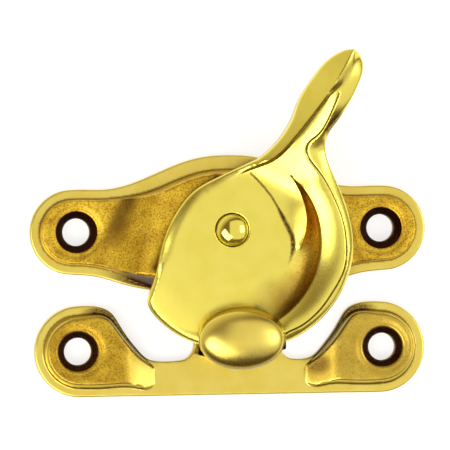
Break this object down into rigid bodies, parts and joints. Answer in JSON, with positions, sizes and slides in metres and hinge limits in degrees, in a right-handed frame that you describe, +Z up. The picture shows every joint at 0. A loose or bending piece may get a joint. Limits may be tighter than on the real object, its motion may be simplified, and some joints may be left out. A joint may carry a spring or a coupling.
{
  "type": "sash fastener",
  "caption": "Cast brass sash fastener: a helical cam lever riveted to a base plate, with the hooked keep it draws in.",
  "frame": {"origin": "the pivot's axis on the underside of the base plate, midway between the base plate's two screw holes", "axes": "+X along the meeting rails, +Y from the keep towards the room, +Z up from the wood towards the lever"},
  "size_m": [0.065, 0.056, 0.0164],
  "materials": {
    "cast_brass": "as cast, lightly polished",
    "polished_brass": "polished",
    "spring_steel": "plain"
  },
  "bodies": {
    "fixed": {"base_plate": "cast_brass", "pivot_rivet": "polished_brass", "spring_washer": "spring_steel", "tail_washer": "polished_brass", "keep_plate": "cast_brass"},
    "cam": {"cam_lever": "polished_brass"}
  },
  "joints": [
    {"name": "cam_turn", "type": "hinge", "parent": "fixed", "child": "cam", "pos_m": [0, 0, 0.0083], "axis": [0, 0, 1], "range_deg": [-55, 110]}
  ]
}
